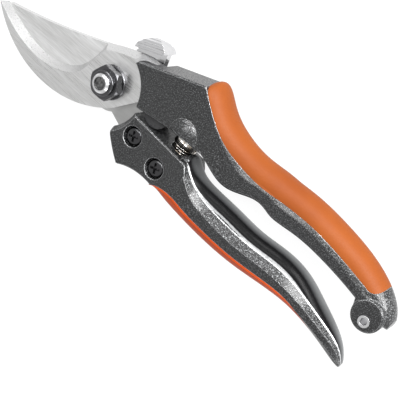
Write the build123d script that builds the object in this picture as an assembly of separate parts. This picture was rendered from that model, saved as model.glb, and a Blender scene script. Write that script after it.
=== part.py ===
from build123d import *
import math
import os

# Bypass pruner, closed. Millimetres.
# X runs along the tool (blade tip at -X, handle ends at +X), Y across it (upper handle at +Y), and Z
# from the back to the front, where the nut is. Shapes are drawn about the pivot axis with Z = 0 on the
# plane where the two blades slide, and are then raised so that the back of the tool lies on Z = 0.

HEAD_HALF = 8.0            # half the thickness of the handles' heads
LIFT = HEAD_HALF           # from the sliding plane down to the back
SLIDE_GAP = 0.05           # between the two blades

# blades
HOOK_THICK = 3.2
BLADE_THICK = 3.1
BLADE_LAND = 0.4           # unground thickness left at the cutting edge
BLADE_BACK = -SLIDE_GAP - BLADE_THICK
HUB_R = 13.0               # the cutting blade's round hub
LUG_TOP_R = 14.3           # lug on the hub that the catch stops
LUG_ANGLES = (62.5, 69.5)

# pivot
BOLT_R = 4.0
BOLT_END = 11.4
BUSH_R = 5.6
RUN_CLEAR = 0.05           # radial running clearance
BOLT_HEAD_R = 7.4
BOLT_HEAD_TOP = -4.5
BOLT_HEAD_CHAMFER = 1.2
BOLT_END_CHAMFER = 0.7
DIMPLE_R = 2.6
DIMPLE = 1.2
WASHER_R = 7.2
WASHER_TOP = 4.4
WASHER_CHAMFER = 0.35
NUT_FLATS = 12.8
NUT_TOP = 8.4
NUT_CORNER = 0.8
COLLAR_R = 5.3
COLLAR_TOP = 9.9

# handle heads
HEAD_ARC_R = 17.2          # hollow round the pivot at the end of each head
HUB_BEVEL = 2.5            # depth of the bevel round the pivot on the lower head
HUB_BEVEL_WIDE = 1.9
UPPER_RIM = 0.5            # chamfers round the heads
LOWER_RIM = 0.4
LOFT_START = 45.0          # where the heads pass into the grips
BODY_HALF = 7.99           # half the thickness of the grips inside the heads

# return spring
SPRING_X = 40.4
SPRING_TOP = 7.4
SPRING_BOTTOM = -3.9
SPRING_R = 5.9
SPRING_END_R = 3.4
SEAT_TOP = SPRING_TOP + 1.4         # top of the pocket for the wide end
SEAT_FLOOR = SPRING_BOTTOM - 0.7    # floor of the pocket for the narrow end
SEAT_GAP = 0.1                      # between the spring's ends and their seats
STUD_R = 1.6
STUD = 2.5
STRIP = 0.65
TURNS = 3.25
STRIP_WIDTH = 6.6
POCKET_R = 6.3
LOWER_POCKET_R = 5.0
DOME_R = 10.3
DOME_AT = (40.2, 5.6)
DOME_LOW = 5.4

# thumb catch
CATCH_PIN = (17.8, 13.2)
CATCH_PIN_R = 1.5
CATCH_FRONT = -0.35
CATCH_BACK = -3.45
PAD_LENGTH = 13.6
PAD_R = 4.7
PAD_GROOVE = 0.35
PAD_END_R = 8.2
PAD_RISE = 0.5
PAD_CENTRE = (7.9, 20.9)
PAD_SLOPE = 21.0
PAD_Z = -0.6

# screws
SCREW_HEAD_R = 3.9
SCREW_HEAD = 2.3
SCREW_R = 2.0
SCREW_HEAD_ROUND = 1.5
RECESS_LENGTH = 4.4
RECESS_WIDTH = 1.0
RECESS_DEPTH = 1.3
RECESS_TURN = 20
NUT_BLANK = 3.4            # thickness of the small nuts on the back
NUT_BLANK_R = 3.5          # half the width across their flats
COUNTERBORE_R = 4.35
COUNTERBORE = 3.0
BLADE_SCREW_AT = ((22.6, -9.2), (37.6, -13.3))
HOOK_SCREW_AT = ((27.5, 14.6), (40.0, 15.6))

# cord boss and eyelet at the end of the upper handle
BOSS = (137.9, 0.5)
BOSS_R = 6.5
BOSS_HALF = 7.6
BOSS_CHAMFER = 0.6
WEB_HALF = 6.6
EYELET = (138.3, -1.7)
EYELET_BORE_R = 1.4
EYELET_TUBE_R = 1.9
EYELET_FLANGE_R = 2.35
EYELET_FLANGE = 0.35


def through(*points):
    """A smooth height y(x) through the points."""
    slopes = []
    for i in range(len(points)):
        (x0, y0), (x1, y1) = points[max(i - 1, 0)], points[min(i + 1, len(points) - 1)]
        slopes.append((y1 - y0) / (x1 - x0))

    def height(x):
        i = 0
        while i < len(points) - 2 and x > points[i + 1][0]:
            i += 1
        (x0, y0), (x1, y1) = points[i], points[i + 1]
        span = x1 - x0
        t = (x - x0) / span
        rise = y1 - y0
        a = slopes[i] * span - rise
        b = -slopes[i + 1] * span + rise
        return y0 + t * rise + t * (1 - t) * (a * (1 - t) + b * t)

    return height


def prism(edges, low, high):
    """A flat outline in the XY plane, extruded from Z = low to Z = high."""
    return Pos(0, 0, low) * extrude(make_face(edges), amount=high - low)


def rod(at, radius, low, high):
    return Pos(at[0], at[1], (low + high) / 2) * Cylinder(radius, high - low)


def polar(radius, degrees):
    return (radius * math.cos(math.radians(degrees)), radius * math.sin(math.radians(degrees)))


# ---------------------------------------------------------------- blades


def hook_outline(front):
    """The hook's outline: at the sliding plane, or at the front face, where its edges are bevelled."""
    if front:
        top = [(9, 16.0), (0, 13.3), (-9.3, 9.4)]
        inner = [(-11.8, 2.6), (-15.3, -6.0), (-25, -12.0), (-37, -13.8), (-50, -11.7), (-62.9, -6.3)]
    else:
        top = [(9, 18.6), (0, 15.9), (-11.6, 10.8)]
        inner = [(-13.5, 3.0), (-17.4, -4.6), (-25, -9.5), (-37, -11.4), (-50, -9.1), (-62.4, -4.9)]
    tip, heel = (-64.2, -6.1), (6.4, -8.0)
    return [
        ThreePointArc(tip, (-30, -20.7), heel),
        Line(heel, (16.6, 3.6)),
        Line((16.6, 3.6), (22, 5.6)),
        Line((22, 5.6), (33, 10.4)),
        Line((33, 10.4), (46, 11.4)),
        Line((46, 11.4), (46, 19.6)),
        Line((46, 19.6), (30, 19.6)),
        Line((30, 19.6), top[0]),
        Spline(*top),
        Spline(top[-1], *inner),
        Line(inner[-1], tip),
    ]


def hook_blade():
    sliding = make_face(hook_outline(False))
    front = Pos(0, 0, HOOK_THICK) * make_face(hook_outline(True))
    plate = loft([sliding, front], ruled=True)
    plate -= rod((0, 0), BOLT_R, 0, HOOK_THICK)
    for at in HOOK_SCREW_AT:
        plate -= rod(at, SCREW_R, 0, HOOK_THICK)
    return plate


def hook_tang_slot():
    """The space that the hook's tang fills in the upper handle."""
    return prism(hook_outline(False), 0, HOOK_THICK)


def blade_outline(back):
    """The cutting blade's outline: full at the front, ground away along the edge at the back."""
    tip_low, edge_middle = ((-60.4, -5.3), (-36, -9.9)) if back else ((-61.9, -6.0), (-36, -14.3))
    hub_low = polar(HUB_R, 243)
    hub_top = polar(HUB_R, 103)
    hub_right = polar(HUB_R, 8)
    return [
        Line(tip_low, (-61.8, -5.2)),
        ThreePointArc((-61.8, -5.2), (-37, 1.5), (-12, 10.3)),
        Line((-12, 10.3), hub_top),
        ThreePointArc(hub_top, polar(HUB_R, 56), hub_right),
        Line(hub_right, (16.4, 1.0)),
        Line((16.4, 1.0), (18.2, -3.8)),
        Line((18.2, -3.8), (44, -6.8)),
        Line((44, -6.8), (44, -16.4)),
        Line((44, -16.4), (22, -14.6)),
        Line((22, -14.6), (12, -13.8)),
        Line((12, -13.8), (5.2, -11.2)),
        ThreePointArc((5.2, -11.2), polar(HUB_R, 270), hub_low),
        ThreePointArc(hub_low, edge_middle, tip_low),
    ]


def blade_lug():
    low, high = LUG_ANGLES
    inner = HUB_R - 1
    return [
        Line(polar(inner, low), polar(LUG_TOP_R, low)),
        ThreePointArc(polar(LUG_TOP_R, low), polar(LUG_TOP_R, (low + high) / 2), polar(LUG_TOP_R, high)),
        Line(polar(LUG_TOP_R, high), polar(inner, high)),
        Line(polar(inner, high), polar(inner, low)),
    ]


def cutting_blade():
    land = -SLIDE_GAP - BLADE_LAND
    front = Pos(0, 0, land) * make_face(blade_outline(False))
    back = Pos(0, 0, BLADE_BACK) * make_face(blade_outline(True))
    blade = loft([back, front], ruled=True) + prism(blade_outline(False), land, -SLIDE_GAP)
    blade += prism(blade_lug(), BLADE_BACK, -SLIDE_GAP)
    blade -= rod((0, 0), BUSH_R, BLADE_BACK, -SLIDE_GAP)
    for at in BLADE_SCREW_AT:
        blade -= rod(at, SCREW_R, BLADE_BACK, -SLIDE_GAP)
    return blade


# ---------------------------------------------------------------- pivot


def pivot_bolt():
    bolt = rod((0, 0), BOLT_R, BOLT_HEAD_TOP, BOLT_END)
    head = rod((0, 0), BOLT_HEAD_R, -LIFT, BOLT_HEAD_TOP)
    head = chamfer(head.faces().sort_by(Axis.Z)[0].edges(), BOLT_HEAD_CHAMFER)
    bolt = chamfer(bolt.faces().sort_by(Axis.Z)[-1].edges(), BOLT_END_CHAMFER)
    dimple = rod((0, 0), DIMPLE_R, BOLT_END - DIMPLE / 2, BOLT_END + DIMPLE / 2)
    return bolt + head - dimple


def pivot_nut():
    hexagon = RegularPolygon(NUT_FLATS / 2, 6, major_radius=False)
    nut = Pos(0, 0, WASHER_TOP) * extrude(hexagon, amount=NUT_TOP - WASHER_TOP)
    corner_r = NUT_FLATS / math.sqrt(3)
    nut &= chamfer(rod((0, 0), corner_r, WASHER_TOP, NUT_TOP).edges(), NUT_CORNER)
    collar = rod((0, 0), COLLAR_R, WASHER_TOP, COLLAR_TOP)
    collar = fillet(collar.faces().sort_by(Axis.Z)[-1].edges(), NUT_CORNER)
    return nut + collar - rod((0, 0), BOLT_R, WASHER_TOP, COLLAR_TOP)


def front_washer():
    washer = rod((0, 0), WASHER_R, HOOK_THICK, WASHER_TOP)
    washer = chamfer(washer.faces().sort_by(Axis.Z)[-1].edges(), WASHER_CHAMFER)
    return washer - rod((0, 0), BOLT_R, HOOK_THICK, WASHER_TOP)


def wave_washer():
    """A dished spring washer between the bolt's head and the cutting blade."""
    top = BLADE_BACK - SLIDE_GAP
    ring = Pos(0, 0, (top + BOLT_HEAD_TOP) / 2) * Cone(WASHER_R, BUSH_R, top - BOLT_HEAD_TOP)
    hollow = Pos(0, 0, BOLT_HEAD_TOP + 0.4) * Cone(WASHER_R - 0.9, BUSH_R - 1, 0.8)
    return ring - hollow - rod((0, 0), BOLT_R, BOLT_HEAD_TOP, top)


def pivot_bush():
    bush = rod((0, 0), BUSH_R, BLADE_BACK, -SLIDE_GAP)
    return bush - rod((0, 0), BOLT_R + RUN_CLEAR, BLADE_BACK, -SLIDE_GAP)


# ---------------------------------------------------------------- handle sections


def section(x, crown_low, facet_low, flat_low, flat_high, facet_high, crown_high, half, facet_half):
    """A cross-section of a handle: flat sides, a facet at each corner, and crowned inner and outer backs."""
    low_a, low_b = (facet_low, -facet_half[0]), (facet_low, facet_half[0])
    high_a, high_b = (facet_high, -facet_half[1]), (facet_high, facet_half[1])
    edges = [
        ThreePointArc(low_a, (crown_low, 0), low_b),
        Line(low_b, (flat_low, half)),
        Line((flat_low, half), (flat_high, half)),
        Line((flat_high, half), high_b),
        ThreePointArc(high_b, (crown_high, 0), high_a),
        Line(high_a, (flat_high, -half)),
        Line((flat_high, -half), (flat_low, -half)),
        Line((flat_low, -half), low_a),
    ]
    return Plane.YZ.offset(x) * make_face(edges)


# upper handle: heights along the tool of its inner back, its front face, the grip's edge and the crest
UPPER_INNER = through(
    (37, 2.8), (50, 3.2), (60, -0.4), (72, 1.8), (86, 3.6), (104, 4.8), (120, 3.8), (134, 1.5),
    (146, -0.2),
)
UPPER_SEAM_POINTS = (
    (38, 26.8), (46, 20.3), (55, 14.7), (65, 11.6), (76, 10.8), (90, 11.8), (101, 12.3), (116, 11.0),
    (131, 8.4),
)
UPPER_SEAM = through(*UPPER_SEAM_POINTS, (146, 2.4))
UPPER_CREST = through(
    (37, 28.4), (41, 30.2), (46, 26.9), (52, 22.9), (60, 20.0), (74, 18.6), (92, 19.8), (106, 19.5),
    (120, 17.6), (131, 14.8), (138, 11.4), (143.5, 7.2), (147, 2.0),
)
UPPER_HALF = through(
    (37, BODY_HALF), (50, BODY_HALF), (54, 7.96), (66, 7.6), (130, 7.5), (140, 6.9), (144, 5.3), (147, 2.8),
)
UPPER_FACET = through((37, 0.3), (50, 0.3), (62, 1.5), (116, 1.7), (131, 2.2), (140, 1.4), (146, 0.5))
UPPER_STATIONS = (37.4, 41, 46, 53, 61, 72, 86, 101, 116, 128, 136, 141.5, 146)


def upper_section(x):
    half, facet = UPPER_HALF(x), UPPER_FACET(x)
    low, crest = UPPER_INNER(x), UPPER_CREST(x)
    seam = min(UPPER_SEAM(x), crest - 0.62 * half)
    flat_low = low + 0.12 * (seam - low) + 0.6
    rest = (half - 0.9, half - 0.4 * facet)
    return section(x, low, flat_low - 0.9, flat_low, seam - facet, seam, crest, half, rest)


# lower handle: heights of its inner crest, the facet, its front face, the corner to the outer back, the crest
LOWER_CREST = through(
    (39, -3.4), (42, -3.2), (46, -0.4), (50, -2.7), (57, -5.3), (70, -5.7), (84, -6.4), (98, -5.1),
    (112, -6.6), (122, -10.8), (131, -15.0), (137, -19.0), (141, -24.6),
)
LOWER_FLAT = through(
    (39, -5.0), (45, -4.6), (50, -7.6), (57, -12.4), (70, -14.8), (84, -14.8), (99, -13.6), (112, -13.9),
    (122, -15.6), (131, -18.2), (137, -21.0), (141, -25.1),
)
LOWER_CORNER = through(
    (39, -20.3), (42, -19.2), (45, -18.8), (50, -18.4), (57, -19.6), (70, -20.4), (84, -20.1), (99, -18.3),
    (112, -17.5), (122, -18.9), (131, -21.3), (137, -23.7), (141, -25.8),
)
LOWER_OUTER = through(
    (39, -20.6), (42, -21.7), (45, -22.7), (50, -23.6), (57, -24.2), (70, -24.8), (84, -24.1), (99, -21.9),
    (112, -20.7), (122, -21.7), (131, -24.0), (137, -25.9), (141, -26.5),
)
LOWER_HALF = through(
    (39, BODY_HALF), (50, BODY_HALF), (54, 7.96), (64, 7.6), (112, 7.5), (122, 6.9), (131, 5.4), (137, 3.5),
    (141, 1.6),
)
LOWER_SEAM_POINTS = (
    (39.2, -20.0), (43, -18.2), (48, -17.4), (57, -18.4), (70, -19.3), (84, -19.0), (99, -17.3), (111, -16.8),
    (119, -18.6), (127, -22.2), (131, -24.6),
)
LOWER_STATIONS = (39.3, 42, 46, 50, 57, 64, 74, 86, 99, 111, 121, 130, 136.5, 140.6)


def lower_section(x):
    half = LOWER_HALF(x)
    crest, flat = LOWER_CREST(x), LOWER_FLAT(x)
    facet = flat + 0.4 * (crest - flat)
    rest = (half - 0.35, 0.7 * half)
    return section(x, LOWER_OUTER(x), LOWER_CORNER(x), LOWER_CORNER(x) + 0.2, flat, facet, crest, half, rest)


# ---------------------------------------------------------------- upper handle


def upper_head():
    """The flat-sided head, from the hollow round the pivot to the start of the grip."""
    arc_top, arc_low = polar(HEAD_ARC_R, 64.5), polar(HEAD_ARC_R, 4)
    right = 50
    outline = [
        ThreePointArc(arc_top, polar(HEAD_ARC_R, 34), arc_low),
        Line(arc_low, (34, 3.6)),
        Line((34, 3.6), (right, 4.4)),
        Line((right, 4.4), (right, UPPER_SEAM(right))),
        Spline((right, UPPER_SEAM(right)), (46, 20.3), (42, 23.5), (37.4, 27.2)),
        Line((37.4, 27.2), (8.2, 16.95)),
        Line((8.2, 16.95), arc_top),
    ]
    head = prism(outline, -HEAD_HALF, HEAD_HALF)
    rims = head.edges().filter_by(GeomType.LINE).filter_by(Axis.Z, reverse=True)
    return chamfer([rim for rim in rims if rim.length > 10], UPPER_RIM)


def grip_zone():
    """The region above the upper seam, where the soft grip is."""
    left, top = 37.3, 45
    start, end = (left, UPPER_SEAM_POINTS[0][1] + 0.6), (137.0, 12.6)
    outline = [
        Spline(start, *UPPER_SEAM_POINTS[1:]),
        ThreePointArc(UPPER_SEAM_POINTS[-1], (135.7, 9.2), end),
        Line(end, (end[0], top)),
        Line((end[0], top), (left, top)),
        Line((left, top), start),
    ]
    return prism(outline, -20, 20)


def upper_body():
    """The whole grip part of the upper handle, soft grip and core together."""
    return loft([upper_section(x) for x in UPPER_STATIONS])


def upper_end():
    """The boss for a wrist cord, with a web to the handle's inner back."""
    boss = rod(BOSS, BOSS_R, -BOSS_HALF, BOSS_HALF)
    boss = chamfer(boss.edges().filter_by(GeomType.CIRCLE), BOSS_CHAMFER)
    web = Polyline((127, 4.4), (130.4, 2.6), (132.6, -3.4), BOSS, (139, 5), close=True)
    return boss + prism(web, -WEB_HALF, WEB_HALF)


def spring_dome():
    """A shallow dome on the front of the head over the spring's pocket."""
    x, y = DOME_AT
    dome = Pos(x, y, 0) * Sphere(DOME_R)
    keep = Pos(x, DOME_LOW + DOME_R, DOME_R) * Box(30, 2 * DOME_R, 2 * DOME_R)
    return dome & keep


def spring_pocket(y_low, y_high, radius):
    return Pos(SPRING_X, (y_low + y_high) / 2, 0) * Rot(90, 0, 0) * Cylinder(radius, y_high - y_low)


def catch_room():
    """Room behind the hook's plate for the catch: open at the end, blind under the head's top."""
    open_end = Pos(9.5, 17, -4.1) * Box(13, 16, 8)
    pocket = [
        Line((13, 9.2), (20.2, 9.2)),
        ThreePointArc((20.2, 9.2), (22.1, 13.2), (20.6, 17.4)),
        Line((20.6, 17.4), (13, 17.4)),
        Line((13, 17.4), (13, 9.2)),
    ]
    return open_end + prism(pocket, CATCH_BACK - 0.35, -0.1)


def upper_handle():
    grip_part = upper_body() & (Pos(LOFT_START + 75, 0, 0) * Box(150, 100, 60))
    handle = upper_head() + grip_part + upper_end() + spring_dome()
    handle -= grip_zone()
    handle -= hook_tang_slot()
    handle -= spring_pocket(0, SEAT_TOP, POCKET_R)
    handle -= catch_room()
    handle -= rod(CATCH_PIN, CATCH_PIN_R, -LIFT, 0)
    handle -= bumper_plug()
    handle -= rod(EYELET, EYELET_TUBE_R, -BOSS_HALF, BOSS_HALF)
    for at in HOOK_SCREW_AT:
        handle -= rod(at, COUNTERBORE_R, -HEAD_HALF, COUNTERBORE - HEAD_HALF)
        handle -= rod(at, SCREW_R, -HEAD_HALF, 6)
    return handle


def upper_grip():
    return upper_body() & grip_zone()


def bumper_plug():
    return Pos(26, 3.6, 0) * Rot(90, 0, 0) * Cylinder(2.4, 4.4)


def closing_bumper():
    """A soft cushion under the upper head that meets the lower head when the handles close."""
    outline = [
        ThreePointArc((20.6, 1.75), (26, -1.55), (31.4, 3.0)),
        Line((31.4, 3.0), (20.6, 1.75)),
    ]
    cushion = prism(outline, -6.2, 6.2) - upper_head()
    return cushion + bumper_plug()


def cord_eyelet():
    eyelet = rod(EYELET, EYELET_TUBE_R, -BOSS_HALF, BOSS_HALF)
    for side in (-1, 1):
        flange = rod(EYELET, EYELET_FLANGE_R, *sorted((side * BOSS_HALF, side * (BOSS_HALF + EYELET_FLANGE))))
        eyelet += flange
    return eyelet - rod(EYELET, EYELET_BORE_R, -BOSS_HALF - 1, BOSS_HALF + 1)


def upper_spring_seat():
    face = SPRING_TOP + SEAT_GAP
    return spring_pocket(face, SEAT_TOP, POCKET_R) + spring_pocket(SPRING_TOP - STUD, face, STUD_R)


# ---------------------------------------------------------------- lower handle


def lower_head():
    """The flat-sided head of the lower handle, hollow round the pivot and bevelled there at the front."""
    arc_top, arc_low = polar(HEAD_ARC_R, -5), polar(HEAD_ARC_R, -46)
    right = 50
    outline = [
        Line((right, -6.6), (47.4, -3.1)),
        Line((47.4, -3.1), (18.6, -1.6)),
        Line((18.6, -1.6), arc_top),
        ThreePointArc(arc_top, polar(HEAD_ARC_R, -25), arc_low),
        Line(arc_low, (13.4, -15)),
        Spline((13.4, -15), (17.8, -19.3), (22.5, -23.1)),
        Spline((22.5, -23.1), (29, -20.4), (36, -19.6), (42, -20.4)),
        Line((42, -20.4), (right, -20.4)),
        Line((right, -20.4), (right, -6.6)),
    ]
    head = prism(outline, -HEAD_HALF, HEAD_HALF)
    rims = head.edges().filter_by(GeomType.BSPLINE) + head.edges().filter_by(GeomType.LINE)
    head = chamfer([rim for rim in rims if rim.length > 15], LOWER_RIM)
    bevel = Cone(HEAD_ARC_R, HEAD_ARC_R + HUB_BEVEL_WIDE, HUB_BEVEL)
    return head - Pos(0, 0, HEAD_HALF - HUB_BEVEL / 2) * bevel


def lower_body():
    return loft([lower_section(x) for x in LOWER_STATIONS])


def strip_zone():
    """The region below the lower seam, where the soft strip is."""
    start, end, low = LOWER_SEAM_POINTS[0], LOWER_SEAM_POINTS[-1], -40
    outline = [
        Spline(*LOWER_SEAM_POINTS),
        Line(end, (end[0], low)),
        Line((end[0], low), (start[0], low)),
        Line((start[0], low), start),
    ]
    return prism(outline, -20, 20)


def lower_handle():
    handle = lower_head() + lower_body() - strip_zone()
    handle -= spring_pocket(SEAT_FLOOR, 0, LOWER_POCKET_R)
    handle -= prism(blade_outline(False), BLADE_BACK, -SLIDE_GAP)
    for at in BLADE_SCREW_AT:
        handle -= rod(at, COUNTERBORE_R, HEAD_HALF - COUNTERBORE, HEAD_HALF + 1)
        handle -= rod(at, SCREW_R, -HEAD_HALF, HEAD_HALF)
        handle -= Pos(at[0], at[1], -HEAD_HALF) * nut_blank()
    return handle


def lower_grip():
    return lower_body() & strip_zone()


def lower_spring_seat():
    disc = spring_pocket(SEAT_FLOOR, SPRING_BOTTOM - SEAT_GAP, LOWER_POCKET_R)
    return disc + spring_pocket(SEAT_FLOOR, SPRING_BOTTOM + STUD, STUD_R)


# ---------------------------------------------------------------- springs, catch, screws


def return_spring():
    """A volute spring: a flat strip wound to a cone, its wide end in the upper handle."""
    axial = SPRING_TOP - SPRING_BOTTOM - STRIP_WIDTH
    lean = math.degrees(math.atan((SPRING_R - SPRING_END_R) / axial))
    start = SPRING_R - STRIP / 2
    path = Helix(axial / TURNS, axial, start, cone_angle=-lean)
    strip = Plane.XZ * Pos(start, 0) * Rectangle(STRIP, STRIP_WIDTH)
    coil = sweep(strip, path, is_frenet=True)
    return Pos(SPRING_X, SPRING_TOP - STRIP_WIDTH / 2, 0) * Rot(90, 0, 0) * coil


def latch_lever():
    """The catch: a steel plate on its pin, with a nose that blocks the blade's lug."""
    nose_angle = 56
    nose_r = 14.6
    tip_left, tip_right = polar(nose_r, nose_angle + 4.3), polar(nose_r, nose_angle - 4.3)
    pin_x, pin_y = CATCH_PIN
    boss_r = 3.3
    outline = [
        ThreePointArc(tip_left, polar(nose_r, nose_angle), tip_right),
        Line(tip_right, (11.2, 14.6)),
        Line((11.2, 14.6), (14.6, pin_y - 1)),
        ThreePointArc((14.6, pin_y - 1), (pin_x + 1.4, pin_y - 2.98), (pin_x + boss_r, pin_y)),
        ThreePointArc((pin_x + boss_r, pin_y), (pin_x + 2.2, pin_y + 2.46), (pin_x, pin_y + boss_r)),
        Line((pin_x, pin_y + boss_r), (15.6, 16.5)),
        Line((15.6, 16.5), (14.3, 18.2)),
        Line((14.3, 18.2), (13.4, 23.2)),
        Line((13.4, 23.2), (1.7, 18.7)),
        Line((1.7, 18.7), (0.5, 16.2)),
        Line((0.5, 16.2), (6.7, 16.2)),
        Line((6.7, 16.2), tip_left),
    ]
    lever = prism(outline, CATCH_BACK, CATCH_FRONT)
    return lever - rod(CATCH_PIN, CATCH_PIN_R + RUN_CLEAR, CATCH_BACK, CATCH_FRONT)


def latch_pad():
    """The thumb pad on the lever's upper edge: a half-round with ribs along it and rounded ends."""
    pad = Rot(0, 90, 0) * Cylinder(PAD_R, PAD_LENGTH)
    for angle in range(-75, 76, 25):
        groove_y, groove_z = polar(PAD_R + PAD_GROOVE, 90 + angle)
        pad -= Pos(0, groove_y, groove_z) * Rot(0, 90, 0) * Cylinder(2 * PAD_GROOVE, PAD_LENGTH)
    pad &= Pos(0, 0, PAD_R - PAD_END_R) * Rot(90, 0, 0) * Cylinder(PAD_END_R, 4 * PAD_R)
    pad &= Pos(0, 0, PAD_R / 2) * Box(PAD_LENGTH, 4 * PAD_R, PAD_R)
    pad = Pos(0, 0, PAD_RISE) * pad + Pos(0, 0, PAD_RISE / 2) * Box(PAD_LENGTH - 2, 2 * PAD_R - 2, PAD_RISE)
    placed = Pos(PAD_CENTRE[0], PAD_CENTRE[1], PAD_Z) * Rot(0, 0, PAD_SLOPE) * Rot(-90, 0, 0) * pad
    return placed - latch_lever()


def latch_pin():
    return rod(CATCH_PIN, CATCH_PIN_R, -LIFT, -0.02)


def latch_leaf_spring():
    """A thin leaf in the top of the catch's pocket."""
    outline = [
        ThreePointArc((16.1, 17.4), (18.3, 16.95), (20.5, 17.4)),
        Line((20.5, 17.4), (20.5, 17.1)),
        ThreePointArc((20.5, 17.1), (18.3, 16.65), (16.1, 17.1)),
        Line((16.1, 17.1), (16.1, 17.4)),
    ]
    return prism(outline, CATCH_BACK + 0.3, CATCH_FRONT - 0.3)


def nut_blank():
    return extrude(RegularPolygon(NUT_BLANK_R, 6, major_radius=False), amount=NUT_BLANK)


def screw(length):
    """A pan-head screw with a cross recess, its head's underside at Z = 0 and its shank below."""
    head = Pos(0, 0, SCREW_HEAD / 2) * Cylinder(SCREW_HEAD_R, SCREW_HEAD)
    head = fillet(head.faces().sort_by(Axis.Z)[-1].edges(), SCREW_HEAD_ROUND)
    shank = Pos(0, 0, -length / 2) * Cylinder(SCREW_R, length)
    recess = Box(RECESS_LENGTH, RECESS_WIDTH, 2 * RECESS_DEPTH)
    recess += Box(RECESS_WIDTH, RECESS_LENGTH, 2 * RECESS_DEPTH)
    return head + shank - Pos(0, 0, SCREW_HEAD) * Rot(0, 0, RECESS_TURN) * recess


def blade_screws():
    seat = HEAD_HALF - COUNTERBORE
    return [Pos(at[0], at[1], seat) * screw(12.6) for at in BLADE_SCREW_AT]


def blade_nuts():
    low = -HEAD_HALF
    return [Pos(at[0], at[1], low) * nut_blank() - rod(at, SCREW_R, low, low + 4) for at in BLADE_SCREW_AT]


def hook_screws():
    seat = COUNTERBORE - HEAD_HALF
    return [Pos(at[0], at[1], seat) * Rot(180, 0, 0) * screw(10.5) for at in HOOK_SCREW_AT]


PARTS = {
    "hook_blade": hook_blade,
    "upper_handle": upper_handle,
    "upper_grip": upper_grip,
    "hook_screws": hook_screws,
    "pivot_bolt": pivot_bolt,
    "front_washer": front_washer,
    "pivot_nut": pivot_nut,
    "wave_washer": wave_washer,
    "latch_pin": latch_pin,
    "latch_leaf_spring": latch_leaf_spring,
    "closing_bumper": closing_bumper,
    "upper_spring_seat": upper_spring_seat,
    "return_spring": return_spring,
    "cord_eyelet": cord_eyelet,
    "cutting_blade": cutting_blade,
    "lower_handle": lower_handle,
    "lower_grip": lower_grip,
    "blade_screws": blade_screws,
    "blade_nuts": blade_nuts,
    "pivot_bush": pivot_bush,
    "lower_spring_seat": lower_spring_seat,
    "latch_lever": latch_lever,
    "latch_pad": latch_pad,
}

os.makedirs("parts", exist_ok=True)
for node, make in PARTS.items():
    shape = make()
    solids = shape if isinstance(shape, list) else shape.solids()
    solids = [Pos(0, 0, LIFT) * solid for solid in solids]
    if len(solids) > 1:
        export_step(Compound(children=solids), f"parts/{node}.step")
    else:
        export_step(solids[0], f"parts/{node}.step")
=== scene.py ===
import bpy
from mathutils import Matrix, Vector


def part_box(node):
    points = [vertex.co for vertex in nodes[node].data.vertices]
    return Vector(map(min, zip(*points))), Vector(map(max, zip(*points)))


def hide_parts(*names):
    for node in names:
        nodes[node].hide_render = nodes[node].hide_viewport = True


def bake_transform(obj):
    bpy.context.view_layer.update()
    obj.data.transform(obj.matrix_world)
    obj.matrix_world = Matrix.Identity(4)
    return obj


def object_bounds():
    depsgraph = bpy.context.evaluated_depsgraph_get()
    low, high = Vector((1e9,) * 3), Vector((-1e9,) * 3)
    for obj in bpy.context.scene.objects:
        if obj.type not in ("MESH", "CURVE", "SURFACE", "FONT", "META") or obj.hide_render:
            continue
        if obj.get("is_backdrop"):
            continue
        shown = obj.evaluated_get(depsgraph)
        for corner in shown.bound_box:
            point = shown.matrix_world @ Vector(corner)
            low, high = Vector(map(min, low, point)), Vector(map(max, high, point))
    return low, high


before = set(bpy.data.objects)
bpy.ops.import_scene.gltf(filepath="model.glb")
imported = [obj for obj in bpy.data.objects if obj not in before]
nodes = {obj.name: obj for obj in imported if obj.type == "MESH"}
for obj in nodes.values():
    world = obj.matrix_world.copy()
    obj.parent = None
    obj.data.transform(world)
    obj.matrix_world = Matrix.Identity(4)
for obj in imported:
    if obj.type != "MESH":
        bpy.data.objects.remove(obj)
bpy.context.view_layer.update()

import math

import bmesh
import bpy
from mathutils import Matrix, Vector

MM = 0.001
X, Y, Z = range(3)
scene = bpy.context.scene


# ------------------------------------------------------------------ materials

# Blender's mix node has its own two inputs and output for each kind of value.
MIX_SOCKETS = {"FLOAT": (2, 3, 0), "VECTOR": (4, 5, 1), "RGBA": (6, 7, 2)}


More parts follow.
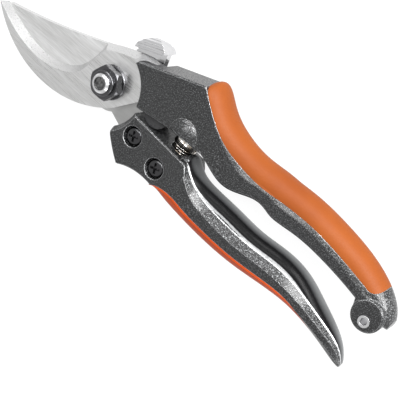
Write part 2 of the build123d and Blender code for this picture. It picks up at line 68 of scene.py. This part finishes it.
class Shader:
    """A node material with short ways to add what the finishes below share."""

    def __init__(self, name):
        self.material = bpy.data.materials.new(name)
        self.material.use_nodes = True
        self.tree = self.material.node_tree
        self.surface = self.tree.nodes["Principled BSDF"]
        self.place = self.add("ShaderNodeTexCoord").outputs["Object"]

    def add(self, kind, **values):
        node = self.tree.nodes.new(kind)
        for key, value in values.items():
            setattr(node, key, value)
        return node

    def put(self, socket, value):
        """Link a socket or set a value. None leaves the input as it is."""
        if isinstance(value, bpy.types.NodeSocket):
            self.tree.links.new(value, socket)
        elif value is not None:
            socket.default_value = value

    def set(self, **values):
        for key, value in values.items():
            self.put(self.surface.inputs[key.replace("_", " ")], value)

    def stretched(self, scale, turn=(0, 0, 0)):
        mapping = self.add("ShaderNodeMapping")
        self.put(mapping.inputs["Vector"], self.place)
        mapping.inputs["Scale"].default_value = scale
        mapping.inputs["Rotation"].default_value = [math.radians(a) for a in turn]
        return mapping.outputs["Vector"]

    def noise(self, scale, detail=3.0, rough=0.5, place=None):
        node = self.add("ShaderNodeTexNoise")
        self.put(node.inputs["Vector"], place or self.place)
        node.inputs["Scale"].default_value = scale
        node.inputs["Detail"].default_value = detail
        node.inputs["Roughness"].default_value = rough
        return node.outputs["Fac"]

    def cells(self, scale):
        node = self.add("ShaderNodeTexVoronoi")
        self.put(node.inputs["Vector"], self.place)
        node.inputs["Scale"].default_value = scale
        return node.outputs["Distance"]

    def ramp(self, value, *stops):
        """Stops are (position, grey) or (position, (r, g, b))."""
        node = self.add("ShaderNodeValToRGB")
        self.put(node.inputs["Fac"], value)
        elements = node.color_ramp.elements
        while len(elements) < len(stops):
            elements.new(0.5)
        for element, (position, colour) in zip(elements, stops):
            element.position = position
            colour = (colour,) * 3 if isinstance(colour, (int, float)) else colour
            element.color = (*colour, 1)
        return node.outputs["Color"]

    def mix_node(self, kind, share, a, b):
        node = self.add("ShaderNodeMix", data_type=kind)
        first, second, result = MIX_SOCKETS[kind]
        self.put(node.inputs[0], share)
        self.put(node.inputs[first], a)
        self.put(node.inputs[second], b)
        return node.outputs[result]

    def mix(self, share, a, b):
        a, b = ((*colour, 1) if isinstance(colour, tuple) else colour for colour in (a, b))
        return self.mix_node("RGBA", share, a, b)

    def mix_vector(self, share, a, b):
        return self.mix_node("VECTOR", share, a, b)

    def blend(self, share, a, b):
        return self.mix_node("FLOAT", share, a, b)

    def math(self, operation, a, b=None):
        node = self.add("ShaderNodeMath", operation=operation)
        self.put(node.inputs[0], a)
        self.put(node.inputs[1], b)
        return node.outputs[0]

    def times(self, a, b):
        return self.math("MULTIPLY", a, b)

    def less(self, share):
        """What is left of one after the share."""
        return self.math("SUBTRACT", 1.0, share)

    def range(self, value, low, high, to_low=0.0, to_high=1.0):
        node = self.add("ShaderNodeMapRange")
        for socket, number in zip(node.inputs, (value, low, high, to_low, to_high)):
            self.put(socket, number)
        return node.outputs[0]

    def axis(self, which):
        node = self.add("ShaderNodeSeparateXYZ")
        self.put(node.inputs[0], self.place)
        return node.outputs[which]

    def bump(self, height, depth, strength=1.0, normal=None):
        node = self.add("ShaderNodeBump")
        self.put(node.inputs["Strength"], strength)
        node.inputs["Distance"].default_value = depth
        self.put(node.inputs["Height"], height)
        self.put(node.inputs["Normal"], normal)
        return node.outputs["Normal"]

    def joined(self, x, y, z):
        node = self.add("ShaderNodeCombineXYZ")
        for socket, value in zip(node.inputs, (x, y, z)):
            self.put(socket, value)
        return node.outputs[0]

    def lean(self, scale, most, normal):
        """The normal, leaning a different way in each cell of a fine pattern."""
        cells = self.add("ShaderNodeTexVoronoi")
        self.put(cells.inputs["Vector"], self.place)
        cells.inputs["Scale"].default_value = scale
        offset = self.vector("SUBTRACT", cells.outputs["Color"], (0.5, 0.5, 0.5))
        offset = self.vector("MULTIPLY", offset, (most, most, most))
        return self.vector("NORMALIZE", self.vector("ADD", normal, offset))

    def facing(self, which):
        """How far the flat surface faces along an axis, either way."""
        node = self.add("ShaderNodeSeparateXYZ")
        self.put(node.inputs[0], self.add("ShaderNodeNewGeometry").outputs["True Normal"])
        return self.math("ABSOLUTE", node.outputs[which])

    def own_normal(self, which):
        """How far the surface faces along the object's own axis."""
        node = self.add("ShaderNodeSeparateXYZ")
        self.put(node.inputs[0], self.add("ShaderNodeTexCoord").outputs["Normal"])
        return node.outputs[which]

    def vector(self, operation, a, b=None):
        node = self.add("ShaderNodeVectorMath", operation=operation)
        self.put(node.inputs[0], a)
        self.put(node.inputs[1], b)
        return node.outputs[0]

    def edges(self, radius):
        """One along the edges, fading to nothing within the radius."""
        flat = self.add("ShaderNodeNewGeometry").outputs["True Normal"]
        node = self.add("ShaderNodeVectorMath", operation="DOT_PRODUCT")
        self.put(node.inputs[0], flat)
        self.put(node.inputs[1], self.rounded(radius))
        return self.range(node.outputs["Value"], 0.92, 0.80)

    def rounded(self, radius):
        node = self.add("ShaderNodeBevel", samples=4)
        node.inputs["Radius"].default_value = radius
        return node.outputs["Normal"]


COAT_GREY = (0.0044, 0.0045, 0.0048)
FLAKE_GREY = (0.40, 0.41, 0.42)
# bare worn metal, which also serves as a painted highlight along edges
BARE_AND_HIGHLIGHT_GREY = (0.74, 0.75, 0.76)
# painted sheen: the lighter grey of the crowned inner side where it turns towards the back
CROWN_SHEEN_GREY = (0.24, 0.245, 0.25)
FLAKES_PER_METRE = 2500
LEANS_PER_METRE = 2700
EDGE_ROUND = 0.9 * MM      # how far an edge of the coat looks rounded
EDGE_WEAR_AND_HIGHLIGHT = 0.55 * MM      # how far from an edge the coat is worn bare and painted bright as a highlight
MIDDLE_Z = 8.0 * MM        # the plane between the two blades
CROWN_START = 47.0 * MM    # the lower handle's rounded inner side
CROWN_HALF = 5.3 * MM
CROWN_TAPER = 112.0 * MM
CROWN_END = 141.0 * MM
CROWN_END_HALF = 1.1 * MM
CROWN_LINE = 0.22 * MM     # half the width of the bright line beside it, worn coat and painted highlight
CROWN_LINE_FULL = 0.08 * MM


def crown_edge(s):
    """How far a point lies inside the rounded inner side of the lower handle, which narrows to the tip."""
    along = s.range(s.axis(X), CROWN_TAPER, CROWN_END)
    half = s.range(s.times(along, along), 0.0, 1.0, CROWN_HALF, CROWN_END_HALF)
    from_middle = s.math("ABSOLUTE", s.math("SUBTRACT", s.axis(Z), MIDDLE_Z))
    return s.math("SUBTRACT", half, from_middle)


def coat_material(name, crowned):
    """Dark powder coat under a clear gloss, of flakes that each lean their own way.

    It is smoother on the faces towards +Y, and worn bare along its edges, painted bright there as a
    painted highlight too; its flakes are painted lighter on the faces that slope up towards +Y, as painted
    glints.
    A crowned one has a smooth inner side, painted lighter towards the back as a painted sheen, with a
    bright line to the facet beside it that is worn coat and painted highlight both.
    """
    s = Shader(name)
    round_edge = s.rounded(EDGE_ROUND)
    upward = s.own_normal(Y)
    sleek = s.range(upward, 0.86, 0.93, 0.0, 0.45)
    edges = s.edges(EDGE_WEAR_AND_HIGHLIGHT)
    if crowned:
        inside = crown_edge(s)
        past_head = s.math("GREATER_THAN", s.axis(X), CROWN_START)
        inner = s.times(past_head, s.math("GREATER_THAN", upward, 0.1))
        crown = s.times(inner, s.math("GREATER_THAN", inside, 0.0))
        sleek = s.math("MAXIMUM", sleek, crown)
        # The bright line between the crown and the facet is a painted highlight, added to the worn edges.
        line = s.range(s.math("ABSOLUTE", inside), CROWN_LINE, CROWN_LINE_FULL)
        edges = s.math("MAXIMUM", edges, s.times(line, inner))
        # Painted sheen: the crowned inner side is painted lighter as its normal turns away from the front.
        crown_sheen = s.times(crown, s.range(s.own_normal(Z), 0.55, -0.35))
    flaky = s.less(s.times(sleek, 0.85))
    # Painted glints: the flakes are painted lighter on faces that turn up towards +Y, where the light
    # glints on them.
    sloping_glint = s.times(s.range(upward, 0.30, 0.50, 0.34, 0.85), flaky)
    flake = s.ramp(s.noise(FLAKES_PER_METRE, 2.0, 0.6), (0.53, 0.0), (0.63, 0.5), (0.76, 1.0))
    flake = s.times(flake, flaky)
    cloud = s.ramp(s.noise(90, 3.0), (0.3, 0.0), (0.7, 1.0))
    colour = s.mix(s.times(cloud, 0.7), COAT_GREY, tuple(0.6 * c for c in COAT_GREY))
    colour = s.mix(s.times(flake, sloping_glint), colour, FLAKE_GREY)
    if crowned:
        colour = s.mix(crown_sheen, colour, CROWN_SHEEN_GREY)
    # Worn bare edges that double as painted highlights: every edge, concave ones too, is painted light
    # grey.
    wear_and_highlight = s.times(edges, s.range(s.noise(700), 0.35, 0.6, 0.55, 1.0))
    colour = s.mix(s.times(wear_and_highlight, 0.9), colour, BARE_AND_HIGHLIGHT_GREY)
    grain = s.noise(1500, 3.0, 0.6)
    steep, slight = (s.lean(LEANS_PER_METRE, most, round_edge) for most in (0.42, 0.06))
    leaning = s.mix_vector(sleek, steep, slight)
    s.set(Base_Color=colour, Metallic=s.math("MAXIMUM", s.times(flake, 0.5), wear_and_highlight))
    s.set(Roughness=s.range(grain, 0.3, 0.7, 0.30, 0.42), Normal=leaning)
    s.set(Specular_IOR_Level=s.times(flaky, 0.30), Coat_Weight=s.times(flaky, 0.5))
    s.set(Coat_Roughness=0.12, Coat_Normal=s.bump(grain, 0.05 * MM, 0.35, round_edge))
    return s.material


def grip_material(name, base, darker):
    """Soft moulded rubber: a fine matt grain and slow changes of tone."""
    s = Shader(name)
    cloud = s.ramp(s.noise(38, 4.0, 0.55), (0.38, 0.0), (0.66, 1.0))
    colour = s.mix(cloud, base, darker)
    grain = s.noise(1900, 3.0, 0.6)
    colour = s.mix(s.range(grain, 0.3, 0.7, 0.0, 0.25), colour, darker)
    s.set(Base_Color=colour, Roughness=s.range(grain, 0.3, 0.7, 0.46, 0.62))
    s.set(Normal=s.bump(grain, 0.04 * MM, 0.5, s.rounded(0.3 * MM)))
    s.set(Specular_IOR_Level=0.22)
    return s.material


BEVEL_GREY = 0.62
# painted shade colour for the blade behind the hook plate
PAINTED_SHADE_GREY = (0.30, 0.30, 0.295)
SHADE_REACH = 10 * MM        # how far behind the pivot the painted shade is at its darkest
SHADE_WANDER = 4 * MM


def steel_material(name, grey, rough, turn, scratch=0.5, painted_shade=0.0):
    """Brushed sheet steel, with long fine scratches one way, and finely ground bevels.

    For one given a painted shade, it darkens from the pivot towards the handles, as painted shade where
    the blade lies behind the hook plate.
    """
    s = Shader(name)
    strokes = s.noise(1.0, 2.0, 0.6, s.stretched((140, 3200, 400), (0, 0, turn)))
    broad = s.noise(1.0, 2.0, 0.5, s.stretched((20, 420, 60), (0, 0, turn)))
    mottle = s.noise(70, 3.0)
    tone = s.math("ADD", s.times(strokes, 0.6), s.times(broad, 0.4))
    dark = (0.80 * grey, 0.80 * grey, 0.79 * grey)
    colour = s.mix(s.range(tone, 0.35, 0.65), dark, (1.08 * grey,) * 3)
    colour = s.mix(s.times(s.ramp(mottle, (0.45, 0.0), (0.75, 1.0)), 0.25), colour, dark)
    # Painted shade: darker from the pivot towards the handles, with a wandering edge.
    shade_along = s.math("ADD", s.axis(X), s.times(mottle, SHADE_WANDER))
    colour = s.mix(s.range(shade_along, 0.0, SHADE_REACH, 0.0, painted_shade), colour, PAINTED_SHADE_GREY)
    bevel = s.range(s.facing(Z), 0.97, 0.90)
    wheel = s.noise(1.0, 2.0, 0.5, s.stretched((3200, 3200, 420)))
    bevel_colour = s.mix(s.range(wheel, 0.3, 0.7), (0.96 * BEVEL_GREY,) * 3, (1.04 * BEVEL_GREY,) * 3)
    colour = s.mix(bevel, colour, bevel_colour)
    bevel_rough = s.range(wheel, 0.3, 0.7, 0.26, 0.36)
    plate_rough = s.range(tone, 0.3, 0.7, rough - 0.07, rough + 0.08)
    s.set(Base_Color=colour, Metallic=1.0, Roughness=s.blend(bevel, plate_rough, bevel_rough))
    scratched = s.times(s.less(bevel), scratch)
    s.set(Normal=s.bump(strokes, 0.02 * MM, scratched, s.rounded(0.12 * MM)))
    return s.material


def plain_metal(name, colour, rough, speckle=0.3):
    """Plated or blackened metal with a clouded tone and shallow pits."""
    s = Shader(name)
    cloud = s.noise(220, 4.0, 0.6)
    pits = s.ramp(s.cells(900), (0.02, 0.0), (0.25, 1.0))
    dark = tuple(0.55 * c for c in colour)
    tone = s.times(s.ramp(cloud, (0.35, 0.0), (0.7, 1.0)), speckle)
    s.set(Base_Color=s.mix(tone, colour, dark), Metallic=1.0)
    s.set(Roughness=s.range(cloud, 0.3, 0.7, rough - 0.06, rough + 0.10))
    s.set(Normal=s.bump(pits, 0.02 * MM, 0.25, s.rounded(0.15 * MM)))
    return s.material


DIMPLE_R = 2.75 * MM


def bolt_material(name):
    """Turned steel: a bright rim round the end, and a dark dimple in its middle, its darkness painted
    shade.
    """
    s = Shader(name)
    x, y, z = (s.axis(i) for i in (X, Y, Z))
    radius = s.math("SQRT", s.math("ADD", s.times(x, x), s.times(y, y)))
    rings = s.noise(1.0, 2.0, 0.5, s.joined(s.times(radius, 5200), 0.0, s.times(z, 900)))
    dimple = s.math("LESS_THAN", radius, DIMPLE_R)
    colour = s.mix(s.range(rings, 0.3, 0.7), (0.52, 0.52, 0.53), (0.82, 0.82, 0.83))
    # Painted shade: the dimple in the middle is painted dark grey.
    mottled = s.mix(s.range(s.noise(1200), 0.35, 0.65), (0.07,) * 3, (0.24,) * 3)
    colour = s.mix(dimple, colour, mottled)
    s.set(Base_Color=colour, Metallic=1.0, Roughness=s.range(rings, 0.3, 0.7, 0.16, 0.30))
    s.set(Normal=s.bump(rings, 0.01 * MM, 0.3, s.rounded(0.2 * MM)))
    return s.material


def spring_material(name):
    """Nickel-plated strip, with brownish bands along the spring's axis painted on as painted reflections.
    """
    s = Shader(name)
    reflection_streaks = s.noise(1.0, 3.0, 0.6, s.stretched((900, 40, 900)))
    fine = s.noise(1.0, 2.0, 0.5, s.stretched((4200, 120, 4200)))
    # Painted reflection: brownish bands and fine dark lines along the axis stand in for reflections on the
    # curved strip.
    colour = s.mix(s.range(reflection_streaks, 0.46, 0.58), (0.86, 0.85, 0.83), (0.40, 0.33, 0.26))
    colour = s.mix(s.range(fine, 0.35, 0.7, 0.0, 0.45), colour, (0.30, 0.27, 0.24))
    s.set(Base_Color=colour, Metallic=1.0, Roughness=s.range(fine, 0.3, 0.7, 0.10, 0.24))
    s.set(Normal=s.bump(fine, 0.01 * MM, 0.3))
    return s.material


def rubber_material(name):
    """Black rubber with a fine grain."""
    s = Shader(name)
    grain = s.noise(1400, 4.0, 0.65)
    colour = s.mix(s.ramp(grain, (0.4, 0.0), (0.7, 1.0)), (0.010, 0.010, 0.011), (0.024, 0.024, 0.025))
    s.set(Base_Color=colour, Roughness=s.range(grain, 0.3, 0.7, 0.25, 0.40))
    s.set(Normal=s.bump(grain, 0.05 * MM, 0.4, s.rounded(0.5 * MM)))
    return s.material


UPPER_COAT = coat_material("upper_coat", False)
LOWER_COAT = coat_material("lower_coat", True)
ORANGE = grip_material("grip_orange", (0.236, 0.056, 0.006), (0.195, 0.042, 0.0045))
STRIP_ORANGE = grip_material("strip_orange", (0.38, 0.046, 0.003), (0.31, 0.037, 0.002))
HOOK_STEEL = steel_material("hook_steel", 0.72, 0.30, 62)
BLADE_STEEL = steel_material("blade_steel", 0.80, 0.34, 10, 0.3, painted_shade=0.75)
GUNMETAL = plain_metal("gunmetal", (0.10, 0.10, 0.105), 0.22)
BLACK_STEEL = plain_metal("black_steel", (0.075, 0.075, 0.078), 0.15)
BOLT_STEEL = plain_metal("bolt_steel", (0.42, 0.42, 0.43), 0.25)
BOLT_END = bolt_material("bolt_end")
SPRING = spring_material("spring_strip")
CHROME = plain_metal("chrome", (0.70, 0.70, 0.71), 0.12, 0.25)
NICKEL = plain_metal("nickel", (0.72, 0.69, 0.65), 0.16, 0.15)
RUBBER = rubber_material("black_rubber")
BRONZE = plain_metal("bronze", (0.45, 0.28, 0.13), 0.35)

FINISHES = {
    "hook_blade": HOOK_STEEL, "cutting_blade": BLADE_STEEL,
    "upper_handle": UPPER_COAT, "lower_handle": LOWER_COAT,
    "upper_grip": ORANGE, "lower_grip": STRIP_ORANGE,
    "hook_screws": BLACK_STEEL, "blade_screws": BLACK_STEEL, "blade_nuts": GUNMETAL,
    "pivot_bolt": BOLT_END, "front_washer": GUNMETAL, "pivot_nut": GUNMETAL, "wave_washer": GUNMETAL,
    "latch_pin": BOLT_STEEL, "latch_leaf_spring": NICKEL, "closing_bumper": RUBBER,
    "upper_spring_seat": RUBBER, "lower_spring_seat": RUBBER, "return_spring": NICKEL,
    "cord_eyelet": CHROME, "pivot_bush": BRONZE, "latch_lever": CHROME, "latch_pad": CHROME,
}
for name, material in FINISHES.items():
    for slot in nodes[name].material_slots:
        slot.material = material


# ------------------------------------------------------------------ return spring

STRIP = 0.65 * MM          # the spring's flat strip
STRIP_WIDTH = 6.6 * MM
STRIP_ROUND = 0.16 * MM
SPRING_TURNS = 3.25
SPRING_END_R = 3.4 * MM
STEPS_PER_TURN = 64


def strip_outline():
    """The strip's rounded section, as offsets from its middle outwards and along the spring."""
    half, thick = STRIP_WIDTH / 2, STRIP / 2
    outline = []
    for side_r, side_y in ((1, 1), (1, -1), (-1, -1), (-1, 1)):
        corner_r, corner_y = side_r * (thick - STRIP_ROUND), side_y * (half - STRIP_ROUND)
        arc = [(math.cos(a), math.sin(a)) for a in (0, math.pi / 4, math.pi / 2)]
        if side_r * side_y < 0:
            arc.reverse()
        for across, along in arc:
            offset_r = corner_r + side_r * STRIP_ROUND * across
            outline.append((offset_r, corner_y + side_y * STRIP_ROUND * along))
    return outline


def volute_spring():
    """A strip wound to a cone, wide at the upper handle, that is squeezed between the two handles."""
    low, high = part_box("return_spring")
    radius = (high[0] - low[0]) / 2 - STRIP / 2
    centre_x, centre_z = (low[0] + high[0]) / 2, (low[2] + high[2]) / 2
    drop = (high[1] - low[1]) - STRIP_WIDTH
    ring = strip_outline()
    steps = int(SPRING_TURNS * STEPS_PER_TURN)
    verts, faces = [], []
    for i in range(steps + 1):
        share = i / steps
        angle = share * SPRING_TURNS * math.tau
        middle_r = radius + share * (SPRING_END_R - STRIP / 2 - radius)
        middle_y = high[1] - STRIP_WIDTH / 2 - share * drop
        for offset_r, offset_y in ring:
            reach = middle_r + offset_r
            x, z = centre_x + reach * math.cos(angle), centre_z - reach * math.sin(angle)
            verts.append((x, middle_y + offset_y, z))
    count = len(ring)
    for i in range(steps):
        for j in range(count):
            a, b = i * count + j, i * count + (j + 1) % count
            faces.append((a, b, b + count, a + count))
    faces.append(tuple(range(count)))
    faces.append(tuple(steps * count + j for j in reversed(range(count))))
    mesh = bpy.data.meshes.new("volute_spring")
    mesh.from_pydata(verts, [], faces)
    tidy = bmesh.new()
    tidy.from_mesh(mesh)
    bmesh.ops.recalc_face_normals(tidy, faces=tidy.faces)
    tidy.to_mesh(mesh)
    tidy.free()
    mesh.shade_smooth()
    mesh.materials.append(SPRING)
    spring = bpy.data.objects.new("volute_spring", mesh)
    scene.collection.objects.link(spring)
    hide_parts("return_spring")
    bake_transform(spring)


volute_spring()

# ------------------------------------------------------------------ floor, lights

FLOOR_HALF = 3.0
FLOOR_DROP = 0.05 * MM     # below the object's lowest point
SKY = 0.75                 # the studio's even light
LIGHT_DISTANCE = 0.9
LOW, HIGH = (Vector(corner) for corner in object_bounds())
CENTRE = (LOW + HIGH) / 2


def floor_material():
    """A dull floor that glows nearly white, so that only a faint shadow shows on it."""
    s = Shader("floor")
    s.set(Base_Color=(0.10, 0.10, 0.10, 1), Roughness=0.9)
    s.set(Emission_Color=(1, 1, 1, 1), Emission_Strength=0.92)
    return s.material


mesh = bpy.data.meshes.new("floor")
floor_z = LOW.z - FLOOR_DROP
corners = [(FLOOR_HALF * x, FLOOR_HALF * y, floor_z) for x, y in ((-1, -1), (1, -1), (1, 1), (-1, 1))]
mesh.from_pydata(corners, [], [(0, 1, 2, 3)])
mesh.materials.append(floor_material())
floor = bpy.data.objects.new("floor", mesh)
scene.collection.objects.link(floor)
floor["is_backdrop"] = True

scene.view_settings.view_transform = "Standard"
scene.view_settings.look = "None"
scene.world = bpy.data.worlds.new("studio")
scene.world.use_nodes = True
background = scene.world.node_tree.nodes["Background"]
background.inputs["Color"].default_value = (1.0, 1.0, 1.0, 1)
background.inputs["Strength"].default_value = SKY


def softbox(name, direction, size, radiance):
    """A soft area light, seen from the object's middle in the given direction."""
    light = bpy.data.lights.new(name, "AREA")
    light.shape = "RECTANGLE"
    light.size, light.size_y = size
    light.energy = radiance * math.pi * size[0] * size[1]
    lamp = bpy.data.objects.new(name, light)
    towards = Vector(direction).normalized()
    lamp.location = CENTRE + towards * LIGHT_DISTANCE
    lamp.rotation_mode = "QUATERNION"
    lamp.rotation_quaternion = towards.to_track_quat("Z", "Y")
    scene.collection.objects.link(lamp)


softbox("facet_light", (0.28, 0.66, 0.69), (0.60, 0.36), 16.0)
softbox("fill_light", (-0.42, 0.70, 0.58), (0.40, 0.24), 11.0)
softbox("low_light", (-0.25, 0.95, 0.06), (1.1, 0.20), 0.25)
softbox("top_light", (-0.28, 0.33, 0.90), (0.5, 0.14), 9.0)
softbox("corner_light", (0.72, 0.57, 0.38), (0.30, 0.30), 20.0)
softbox("end_light", (0.74, -0.45, 0.50), (0.25, 0.25), 6.0)

# ------------------------------------------------------------------ camera

SCALE = 2.543              # pixels per millimetre at the point that the camera aims at
FRAME_PIXELS = 400         # the width that the scale is meant for
LENS = 100.0               # millimetres, like the sensor
SENSOR = 36.0
BACK = Vector((0.30, 0.43, 0.852)).normalized()    # from the object to the camera
RIGHT = Vector((0.705, 0.502, -0.502))             # the picture's right-hand direction
AIM = Vector((57.56, -14.3, 7.0)) * MM

camera_data = bpy.data.cameras.new("camera")
camera_data.lens = LENS
camera_data.sensor_width = SENSOR
camera = bpy.data.objects.new("camera", camera_data)
scene.collection.objects.link(camera)
scene.camera = camera
up = BACK.cross(RIGHT).normalized()
right = up.cross(BACK)
camera.location = AIM + BACK * (LENS / SENSOR * FRAME_PIXELS / SCALE * MM)
camera.rotation_mode = "QUATERNION"
camera.rotation_quaternion = Matrix((right, up, BACK)).transposed().to_quaternion()
camera_data.clip_start = 0.01
camera_data.clip_end = 10.0
